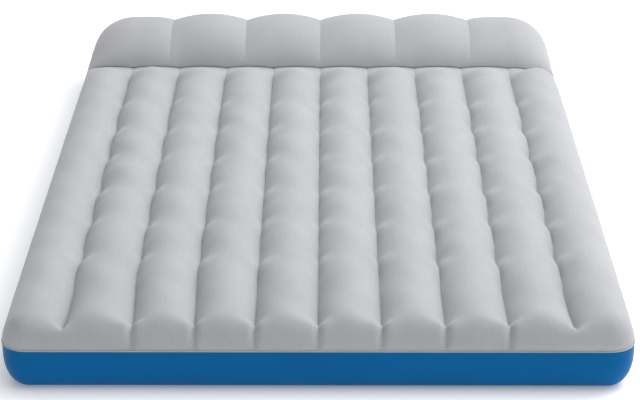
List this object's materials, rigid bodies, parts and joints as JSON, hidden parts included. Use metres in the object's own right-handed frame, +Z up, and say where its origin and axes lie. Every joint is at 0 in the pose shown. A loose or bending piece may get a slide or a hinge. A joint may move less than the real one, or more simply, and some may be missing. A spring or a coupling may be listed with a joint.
{
  "type": "air mattress",
  "caption": "Inflated double camping air mattress with lengthwise air channels, a raised lobed pillow at the head and a two-stage valve in the side wall.",
  "frame": {"origin": "middle of the underside, at floor level", "axes": "+X to the right seen from the foot, +Y from the foot towards the pillow, +Z up"},
  "size_m": [1.27, 1.93, 0.222],
  "materials": {
    "vinyl_blue": "smooth welded vinyl with a soft sheen",
    "flock_grey": "short velvety flock",
    "vinyl_clear": "milky unpigmented vinyl",
    "valve_grey": "moulded, fine satin",
    "cap_blue": "moulded, fine satin",
    "silicone": "smooth soft rubber"
  },
  "bodies": {
    "mattress": {"bottom_sheet": "vinyl_blue", "side_wall": "vinyl_blue", "top_sheet": "flock_grey", "pillow_sheet": "flock_grey", "channel_beam_1": "vinyl_clear", "channel_beam_2": "vinyl_clear", "channel_beam_3": "vinyl_clear", "channel_beam_4": "vinyl_clear", "channel_beam_5": "vinyl_clear", "channel_beam_6": "vinyl_clear", "channel_beam_7": "vinyl_clear", "channel_beam_8": "vinyl_clear", "channel_beam_9": "vinyl_clear", "crease_beam": "vinyl_clear", "pillow_beam_1": "vinyl_clear", "pillow_beam_2": "vinyl_clear", "pillow_beam_3": "vinyl_clear", "pillow_beam_4": "vinyl_clear", "pillow_beam_5": "vinyl_clear", "valve_patch": "vinyl_blue", "valve_collar": "valve_grey"},
    "plug": {"deflate_plug": "valve_grey", "plug_gasket": "silicone", "plug_strap": "valve_grey"},
    "cap": {"inflate_cap": "cap_blue", "cap_strap": "cap_blue"},
    "flap": {"check_flap": "silicone"}
  },
  "joints": [
    {"name": "plug_hinge", "type": "hinge", "parent": "mattress", "child": "plug", "pos_m": [0.62608, 0.5885, 0.05038], "axis": [0.1564, 0, 0.9877], "range_deg": [0, 100]},
    {"name": "cap_hinge", "type": "hinge", "parent": "plug", "child": "cap", "pos_m": [0.6285, 0.5435, 0.05], "axis": [-0.1564, 0, -0.9877], "range_deg": [0, 115]},
    {"name": "flap_hinge", "type": "hinge", "parent": "plug", "child": "flap", "pos_m": [0.61793, 0.56, 0.06443], "axis": [0, 1, 0], "range_deg": [0, 45]}
  ]
}
